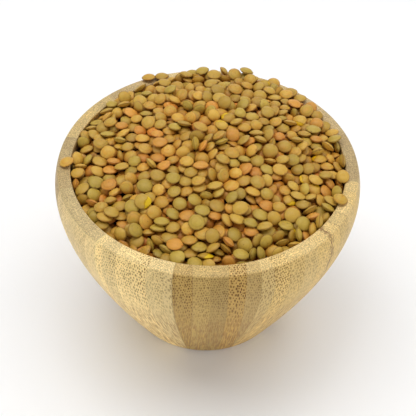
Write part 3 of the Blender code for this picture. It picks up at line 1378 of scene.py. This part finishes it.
    @staticmethod
    def close_world(things: list[bpy.types.Object]) -> None:
        """Ends the solver and clears away all that it used.

        Args:
            things: The bodies.
        """
        scene = bpy.context.scene
        group = scene.rigidbody_world.collection
        bpy.ops.rigidbody.world_remove()
        scene.frame_set(1)
        for thing in things:
            mesh = thing.data
            bpy.data.objects.remove(thing)
            bpy.data.meshes.remove(mesh)
        bpy.data.collections.remove(group)


class Kind(Enum):
    """The sorts of lentil in the heap."""

    KHAKI = "khaki"
    STRAW = "straw"
    ORANGE = "orange"
    OLIVE = "olive"
    SPLIT = "split"


@dataclass(frozen=True)
class SeedCoat:
    """The dull skin of one sort of lentil: mottled, and browner towards its thin edge.

    The browning towards the edge is partly the seed's own and partly painted shade, and the darker, redder
    tint deep in the heap is painted shade. Places and reaches are in shares of the lentil's radius. A pair
    of numbers is where a soft edge starts and ends, or the least of something and how much chance adds to
    it.
    """

    name: str
    share: float
    pale: Rgb
    deep: Rgb
    edge: Rgb
    blush: Rgb
    bare: Rgb | None = None
    # Painted shade deep in the heap: its tint, the depths in millimetres where it starts and ends, and its
    # strength.
    deep_shade_tint: Rgb = (0.88, 0.5, 0.22)
    deep_shade_depth: Span = (2.4, 6.5)
    most_deep_shade: float = 0.85
    tone_stride: float = 40.0
    clouds: Cloud = Cloud(1.1)
    mottles: Cloud = Cloud(4.2, 3.0, 0.6)
    fine: Cloud = Cloud(15.0)
    freckles: Cloud = Cloud(9.0, 1.0)
    tone_weight: float = 0.6
    cloud_weight: float = 0.9
    mottle_weight: float = 0.45
    edge_weight: float = 0.2
    blush_draw: float = 0.25
    blush_edge: Span = (0.62, 0.85)
    most_blush: float = 0.55
    shade: Span = (0.86, 0.24)
    mottle_shade: float = 0.32
    fine_shade: float = 0.18
    eye_place: Span = (0.08, 0.05)
    eye_edge: Span = (0.03, 0.11)
    eye_chosen: Span = (0.8, 0.82)
    most_eye: float = 0.5
    scar_place: float = 0.93
    scar_squash: float = 0.55
    scar_edge: Span = (0.05, 0.13)
    most_scar: float = 0.55
    ring_place: float = 0.66
    ring_reach: float = 0.09
    ring_chosen: Span = (0.5, 0.8)
    most_ring: float = 0.16
    freckle_edge: Span = (0.66, 0.74)
    freckle_chosen: Span = (0.55, 0.95)
    most_freckle: float = 0.35
    margin_edge: Span = (0.87, 1.0)
    margin_wander: float = 0.08
    most_margin: float = 0.5
    torn_wander: float = 0.5
    torn_edge: Span = (0.2, 0.25)
    lip_edge: Span = (0.25, 0.3)
    most_lip: float = 0.5
    mottle_height: float = 0.5
    fine_height: float = 0.25
    eye_depth: float = 0.6
    scar_depth: float = 0.4
    bare_depth: float = 0.9
    roughness: float = 0.48
    mottle_roughness: float = 0.2
    dark_roughness: float = 0.08
    relief_depth: float = 0.00005
    sheen: float = 0.32

    def build(self) -> bpy.types.Material:
        """Mixes the finish.

        Returns:
            The material.
        """
        material = bpy.data.materials.new(self.name)
        bench = Bench(material)
        place, tone = bench.attribute("seed_place"), bench.attribute("seed_tone")
        first, second, third = bench.parts(tone)
        x, y, _ = bench.parts(place)
        from_middle = bench.length(x, y)
        own = bench.joined(place, bench.scaled(tone, self.tone_stride))
        cloud = bench.noise(own, self.clouds)
        mottle = bench.noise(own, self.mottles)
        fine = bench.noise(own, self.fine)

        # Deeper colour towards the edge: partly the seed's own, partly painted shade where the lens curves
        # away from the light.
        share = first * self.tone_weight + cloud.swing(self.cloud_weight)
        share = bench.clamp(share + mottle.swing(self.mottle_weight) + from_middle * self.edge_weight)
        blush = bench.step(cloud + third * self.blush_draw, *self.blush_edge) * self.most_blush
        colour = bench.mix(blush, bench.mix(share, self.pale, self.deep), self.blush)
        darkest, lighter = self.shade
        shade = darkest + second * lighter + mottle.swing(self.mottle_shade) + fine.swing(self.fine_shade)
        colour = bench.scaled(colour, shade)

        eye = bench.fall(bench.length(x - self.eye_place[0], y - self.eye_place[1]), *self.eye_edge)
        eye = eye * bench.step(third, *self.eye_chosen) * self.most_eye
        scar = bench.fall(bench.length(x - self.scar_place, y * self.scar_squash), *self.scar_edge)
        ring = bench.fall(bench.maths("ABSOLUTE", from_middle - self.ring_place), 0.0, self.ring_reach)
        ring = ring * bench.step(third, *self.ring_chosen) * self.most_ring
        freckle = bench.step(bench.noise(own, self.freckles), *self.freckle_edge)
        freckle = freckle * bench.step(second, *self.freckle_chosen) * self.most_freckle
        # A darker margin: partly the coat's own brown rim, partly painted shade for the dark outlines
        # between lentils.
        margin = bench.step(from_middle + mottle.swing(self.margin_wander), *self.margin_edge)
        dark = bench.largest(ring, freckle, eye, scar * self.most_scar, margin * self.most_margin)
        colour = bench.mix(bench.clamp(dark), colour, self.edge)
        relief = mottle * self.mottle_height + fine * self.fine_height
        relief = relief - eye * self.eye_depth - scar * self.scar_depth
        if self.bare is not None:
            torn = x * (first - 0.5) + y * (second - 0.5) + cloud.swing(self.torn_wander)
            bare = bench.step(torn, *self.torn_edge)
            lip = bare * bench.fall(torn, *self.lip_edge) * self.most_lip
            colour = bench.mix(lip, bench.mix(bare, colour, self.bare), self.edge)
            relief = relief - bare * self.bare_depth
        # Painted shade: the parts of lentils that lie deep in the heap are made darker and redder.
        depth, _, _ = bench.parts(bench.attribute("seed_depth"))
        deep_shade = bench.step(depth, *self.deep_shade_depth) * self.most_deep_shade
        colour = bench.mix(deep_shade, colour, self.deep_shade_tint, "MULTIPLY")
        rough = self.roughness + mottle.swing(self.mottle_roughness) + dark * self.dark_roughness
        bench.finish(colour, rough, relief, self.relief_depth, self.sheen)
        return material


COATS = {
    Kind.KHAKI: SeedCoat(
        "khaki_coat", 0.35, seen(192, 157, 65), seen(172, 134, 47), seen(106, 48, 2), seen(195, 142, 48)
    ),
    Kind.STRAW: SeedCoat(
        "straw_coat", 0.27, seen(204, 163, 68), seen(189, 145, 50), seen(116, 52, 2), seen(204, 144, 50)
    ),
    Kind.ORANGE: SeedCoat(
        "orange_coat", 0.1, seen(208, 151, 64), seen(196, 136, 50), seen(122, 48, 3), seen(206, 136, 48)
    ),
    Kind.OLIVE: SeedCoat(
        "olive_coat", 0.24, seen(185, 157, 66), seen(167, 138, 48), seen(98, 52, 2), seen(177, 143, 48)
    ),
    Kind.SPLIT: SeedCoat(
        "split_coat", 0.04, seen(197, 161, 66), seen(178, 138, 48), seen(110, 52, 2), seen(190, 142, 50),
        seen(210, 174, 8),
    ),
}


@dataclass
class SeedShape:
    """The form of one lentil: a lens with a thin edge, a little uneven, pressed or dimpled.

    Its outline is a little oval and three-sided, with a small beak where it hung in the pod.
    """

    sides: int = 24
    rows: int = 7
    edge_pull: float = 1.9
    crown: float = 0.78
    oval: float = 0.02
    three_sided: float = 0.018
    beak: Span = (0.01, 0.025)
    beak_width: float = 0.32
    thickness_range: Span = (0.9, 1.06)
    dimple_chance: float = 0.3
    dimple_away: float = 0.55
    dimple_depth: Span = (0.12, 0.42)
    dimple_spread: Span = (0.03, 0.16)
    press_chance: float = 0.28
    press_reach: Span = (0.74, 0.9)
    press_share: float = 0.7
    most_bend: float = 0.16
    bend_level: float = 0.25

    def pattern(self) -> tuple[np.ndarray, Faces]:
        """The points of a unit lens and the faces between them.

        Returns:
            Each point's place on the unit disc with its side of it, and the faces.
        """
        points, faces = [], []
        spread = [math.sin(math.pi / 2 * row / self.rows) for row in range(self.rows + 1)]
        spread[-2] = (spread[-2] + self.edge_pull) / (1 + self.edge_pull)
        starts = {}
        for side in (1, -1):
            for row, radius in enumerate(spread):
                if row == self.rows and side == -1:
                    starts[side, row] = starts[1, row]
                    continue
                starts[side, row] = len(points)
                face = side if row < self.rows else 0
                for k in range(self.sides if row else 1):
                    angle = math.tau * k / self.sides
                    points.append((radius * math.cos(angle), radius * math.sin(angle), face))
        for side in (1, -1):
            for row in range(self.rows):
                for k in range(self.sides):
                    after = (k + 1) % self.sides
                    outer, inner = starts[side, row + 1], starts[side, row]
                    corners = [inner + (k if row else 0), outer + k, outer + after]
                    corners += [inner + after] if row else []
                    faces.append(tuple(corners if side == 1 else corners[::-1]))
        return np.array(points, float), faces

    def grown(self, pattern: np.ndarray, rng: random.Random) -> np.ndarray:
        """One lentil's own form, of unit radius and unit half thickness.

        Args:
            pattern: The unit lens.
            rng: The random numbers to draw from.

        Returns:
            The lentil's points.
        """
        x, y, side = pattern[:, 0], pattern[:, 1], pattern[:, 2]
        radius = np.hypot(x, y)
        angle = np.arctan2(y, x)
        outline = 1 + self.oval * np.cos(2 * angle + rng.uniform(0, math.tau))
        outline += self.three_sided * np.cos(3 * angle + rng.uniform(0, math.tau))
        outline += max(0.0, rng.gauss(*self.beak)) * np.exp(-((angle / self.beak_width) ** 2))
        thick = np.power(np.clip(1 - radius**2, 0, 1), self.crown) * side
        thick *= np.where(side > 0, rng.uniform(*self.thickness_range), rng.uniform(*self.thickness_range))
        if rng.random() < self.dimple_chance:
            thick -= self.dimple(x, y, side, rng)
        x, y = x * outline, y * outline
        if rng.random() < self.press_chance:
            x, y = self.press(x, y, rng)
        bend = rng.uniform(-self.most_bend, self.most_bend)
        lie = rng.uniform(0, math.tau)
        across = x * math.cos(lie) + y * math.sin(lie)
        return np.stack([x, y, thick + bend * (across**2 - self.bend_level)], axis=1)

    def dimple(self, x: np.ndarray, y: np.ndarray, side: np.ndarray, rng: random.Random) -> np.ndarray:
        """A shallow hollow in one face, as in a seed that dried out.

        Args:
            x: The points' places one way.
            y: Their places the other way.
            side: Which face each is on.
            rng: The random numbers to draw from.

        Returns:
            How far each point sinks.
        """
        face = rng.choice((1, -1))
        away, towards = rng.uniform(0, self.dimple_away), rng.uniform(0, math.tau)
        gap = (x - away * math.cos(towards)) ** 2 + (y - away * math.sin(towards)) ** 2
        sink = rng.uniform(*self.dimple_depth) * np.exp(-gap / rng.uniform(*self.dimple_spread))
        return np.where(side == face, sink * face, 0)

    def press(self, x: np.ndarray, y: np.ndarray, rng: random.Random) -> tuple[np.ndarray, np.ndarray]:
        """Flattens one side of the outline, where the seed grew against its neighbour in the pod.

        Args:
            x: The points' places one way.
            y: Their places the other way.
            rng: The random numbers to draw from.

        Returns:
            The new places.
        """
        towards, reach = rng.uniform(0, math.tau), rng.uniform(*self.press_reach)
        out = x * math.cos(towards) + y * math.sin(towards)
        excess = np.clip(out - reach, 0, None) * self.press_share
        return x - excess * math.cos(towards), y - excess * math.sin(towards)


@dataclass
class Lentils:
    """Every lentil that shows, joined into one mesh for each sort."""

    rests: list[Rest]
    heap: HeapForm
    shape: SeedShape = field(default_factory=SeedShape)
    look_stride: int = 3
    look_ways: int = 26
    lowest_look: float = 0.12
    least_facing: float = 0.05
    least_looks: int = 6
    look_reach: float = 0.1
    skin: float = 0.00006
    random_seed: int = 9

    def showing(self) -> list[Rest]:
        """Leaves out the lentils that hardly anything shows of, from above or from the side.

        Returns:
            The lentils that show.
        """
        pattern, faces = SeedShape(sides=8, rows=3).pattern()
        lens = pattern.copy()
        lens[:, 2] *= 1 - np.hypot(pattern[:, 0], pattern[:, 1]) ** 2
        points, shells = [], []
        for rest in self.rests:
            start = len(points)
            points += [tuple(p) for p in self.placed(lens, rest)]
            shells += [tuple(start + i for i in face) for face in faces]
        tree = BVHTree.FromPolygons(points, shells)
        ways = []
        for i in range(self.look_ways):
            height = self.lowest_look + (1 - self.lowest_look) * (i + 0.5) / self.look_ways
            flat = math.sqrt(1 - height**2)
            turn = i * GOLDEN_ANGLE
            ways.append(Vector((flat * math.cos(turn), flat * math.sin(turn), height)))
        kept = []
        for number, rest in enumerate(self.rests):
            spots = points[number * len(lens) : (number + 1) * len(lens) : self.look_stride]
            middle = rest.pose.to_translation()
            looks = sum(self.is_open(tree, Vector(spot), middle, way) for spot in spots for way in ways)
            if looks >= self.least_looks:
                kept.append(rest)
        return kept

    def is_open(self, tree: BVHTree, spot: Vector, middle: Vector, way: Vector) -> bool:
        """Looks from a spot on a lentil towards the room.

        Args:
            tree: All the lentils.
            spot: The spot.
            middle: The lentil's middle.
            way: Which way to look.

        Returns:
            True if nothing stands between them.
        """
        out = (spot - middle).normalized()
        if out.dot(way) < self.least_facing:
            return False
        return tree.ray_cast(spot + out * self.skin + way * self.skin, way, self.look_reach)[0] is None

    @staticmethod
    def placed(points: np.ndarray, rest: Rest) -> np.ndarray:
        """A unit lentil's points, sized and laid down.

        Args:
            points: Its points.
            rest: How it lies.

        Returns:
            The points in the part's frame.
        """
        sized = points * np.array((rest.half_length, rest.half_width, rest.half_thickness))
        pose = np.array(rest.pose)
        return sized @ pose[:3, :3].T + pose[:3, 3]

    def build(self) -> list[bpy.types.Object]:
        """Grows the lentils.

        Returns:
            One object for each sort.
        """
        rng = random.Random(self.random_seed)
        rests = self.showing()
        log.info("lentils: %d of %d show", len(rests), len(self.rests))
        kinds = rng.choices(list(COATS), [coat.share for coat in COATS.values()], k=len(rests))
        pattern, faces = self.shape.pattern()
        pieces = []
        for kind in Kind:
            own = [rest for rest, sort in zip(rests, kinds) if sort is kind]
            pieces.append(self.join(kind, own, pattern, faces, rng))
        return pieces

    def depth_of(self, points: np.ndarray) -> np.ndarray:
        """How deep in the heap a lentil's points lie.

        Args:
            points: The points in the part's frame.

        Returns:
            For each point, its depth below the heap's surface in millimetres, and two noughts.
        """
        depths = [(self.heap.rim_height + self.heap.rise(x, y) - z) / MM for x, y, z in points]
        return np.column_stack([depths, np.zeros((len(points), 2))])

    def join(
        self, kind: Kind, rests: list[Rest], pattern: np.ndarray, faces: Faces, rng: random.Random
    ) -> bpy.types.Object:
        """Makes one mesh of all lentils of a sort.

        Args:
            kind: The sort.
            rests: How its lentils lie.
            pattern: The unit lens.
            faces: Its faces.
            rng: The random numbers to draw from.

        Returns:
            The piece.
        """
        places, units, tones, depths, shells = [], [], [], [], []
        for number, rest in enumerate(rests):
            grown = self.shape.grown(pattern, rng)
            places.append(self.placed(grown, rest))
            # These depths drive the coats' painted shade deep in the heap.
            depths.append(self.depth_of(places[-1]))
            units.append(np.column_stack([pattern[:, :2], grown[:, 2]]))
            tones.append(np.tile([rng.random() for _ in range(3)], (len(pattern), 1)))
            start = number * len(pattern)
            shells += [tuple(start + i for i in face) for face in faces]
        mesh = bpy.data.meshes.new(f"lentils_{kind.value}")
        mesh.from_pydata(np.concatenate(places).tolist(), [], shells)
        for name, values in (("seed_place", units), ("seed_tone", tones), ("seed_depth", depths)):
            layer = mesh.attributes.new(name, "FLOAT_VECTOR", "POINT")
            layer.data.foreach_set("vector", np.concatenate(values).astype(np.float32).ravel())
        piece = bpy.data.objects.new(mesh.name, mesh)
        bpy.context.scene.collection.objects.link(piece)
        self.dress(piece, kind)
        return settle_piece(piece)

    @staticmethod
    def dress(piece: bpy.types.Object, kind: Kind) -> None:
        """Gives the lentils of a sort their skin."""
        piece.data.materials.append(COATS[kind].build())
        piece.data.shade_smooth()


@dataclass(frozen=True)
class SoftBox:
    """One square light that faces the bowl: its place, the length of its side and its power in watts."""

    name: str
    place: tuple[float, float, float]
    size: float
    power: float


SOFT_BOXES = (
    SoftBox("key_light", (-0.25, 0.12, 0.9), 0.55, 3.9),
    SoftBox("second_light", (0.25, 0.1, 0.9), 0.55, 2.7),
    SoftBox("front_light", (0.25, -2.4, 0.6), 1.75, 16.3),
    SoftBox("right_light", (2.0, -0.4, 0.8), 1.5, 9.4),
    SoftBox("left_light", (-2.0, -0.4, 0.8), 1.5, 7.5),
    SoftBox("back_light", (0.25, 2.0, 1.1), 1.5, 9.4),
)


@dataclass
class Studio:
    """A pale floor and pale walls, soft light mostly from above, and the camera at the photograph's angle.

    The camera's distance and the point that it is aimed at are in shares of the rim's radius.
    """

    bowl: BowlForm
    elevation: float = math.radians(46.35)
    distance: float = 5.2
    aim_right: float = 0.007
    aim_down: float = 0.480
    roll: float = 0.029
    focal_pixels: float = 723.06
    frame_pixels: float = 416.0
    sensor_width: float = 36.0
    nearest_seen: float = 0.01
    light_aim: float = 0.7
    floor_radius: float = 2.5
    floor_sides: int = 96
    floor_drop: float = 0.0002
    floor_colour: Rgb = (0.955, 0.96, 0.97)
    floor_clouds: Cloud = Cloud(3.0)
    floor_mottle: float = 1.01
    floor_roughness: Span = (0.8, 0.05)
    floor_sheen: float = 0.1
    wall_light: float = 0.7
    ceiling_light: float = 0.1
    wall_top: Span = (0.25, 0.55)

    def build(self) -> None:
        """Sets up the floor, the lights and the camera."""
        self.lay_floor()
        for box in SOFT_BOXES:
            self.hang(box)
        self.paint_room()
        self.place_camera()
        bpy.context.scene.view_settings.view_transform = "Standard"

    def lay_floor(self) -> None:
        """Lays the floor, which isn't part of the object."""
        body = bmesh.new()
        bmesh.ops.create_circle(body, cap_ends=True, segments=self.floor_sides, radius=self.floor_radius)
        mesh = bpy.data.meshes.new("floor")
        body.to_mesh(mesh)
        body.free()
        floor = bpy.data.objects.new("floor", mesh)
        floor.location.z = -self.floor_drop
        bpy.context.scene.collection.objects.link(floor)
        mesh.materials.append(bpy.data.materials.new("pale_floor"))
        bench = Bench(mesh.materials[0])
        cloud = bench.noise(bench.position(), self.floor_clouds)
        paler = tuple(part * self.floor_mottle for part in self.floor_colour)
        colour = bench.mix(cloud, self.floor_colour, paler)
        smoothest, rougher = self.floor_roughness
        bench.finish(colour, smoothest + cloud * rougher, None, 0.0, self.floor_sheen)

    def paint_room(self) -> None:
        """Makes the room's own light: pale walls all round, and a dim ceiling."""
        world = bpy.data.worlds.new("room")
        bench = Bench(world)
        _, _, up = bench.parts(bench.node("ShaderNodeTexCoord", output="Generated"))
        ceiling = bench.step(up, *self.wall_top)
        strength = self.wall_light + ceiling * (self.ceiling_light - self.wall_light)
        background = bench.tree.nodes["Background"]
        background.inputs["Color"].default_value = (1, 1, 1, 1)
        bench.tree.links.new(strength.socket, background.inputs["Strength"])
        bpy.context.scene.world = world

    def hang(self, box: SoftBox) -> None:
        """Hangs one soft box.

        Args:
            box: The soft box.
        """
        light = bpy.data.lights.new(box.name, "AREA")
        light.size = box.size
        light.energy = box.power
        lamp = bpy.data.objects.new(box.name, light)
        lamp.location = box.place
        aim = Vector((0, 0, self.bowl.height * self.light_aim)) - lamp.location
        lamp.rotation_euler = aim.to_track_quat("-Z", "Y").to_euler()
        bpy.context.scene.collection.objects.link(lamp)

    def place_camera(self) -> None:
        """Places the camera, level with the photograph's own."""
        rim_radius = self.bowl.rim_radius
        back = Vector((0, -math.cos(self.elevation), math.sin(self.elevation)))
        aim = Vector((self.aim_right * rim_radius, 0, self.bowl.height - self.aim_down * rim_radius))
        data = bpy.data.cameras.new("camera")
        data.sensor_width = self.sensor_width
        data.lens = self.sensor_width * self.focal_pixels / self.frame_pixels
        data.clip_start = self.nearest_seen
        camera = bpy.data.objects.new("camera", data)
        camera.location = aim + back * self.distance * rim_radius
        right = Vector((1, 0, 0))
        turn = Matrix((right, back.cross(right), back)).transposed()
        camera.rotation_euler = (turn @ Matrix.Rotation(self.roll, 3, "Z")).to_euler()
        bpy.context.scene.collection.objects.link(camera)
        bpy.context.scene.camera = camera


def main() -> None:
    """Builds the bowl, the bed, the poured lentils and the studio, in that order."""
    logging.basicConfig(level=logging.INFO, format="%(name)s %(message)s")
    bowl = BowlForm()
    bowl.build()
    heap = HeapForm(bowl)
    bed = Bed(heap)
    bed.build()
    rests = Pour(heap, bed.depth).settle()
    Lentils(rests, heap).build()
    Studio(bowl).build()


if __name__ == "__main__":
    main()
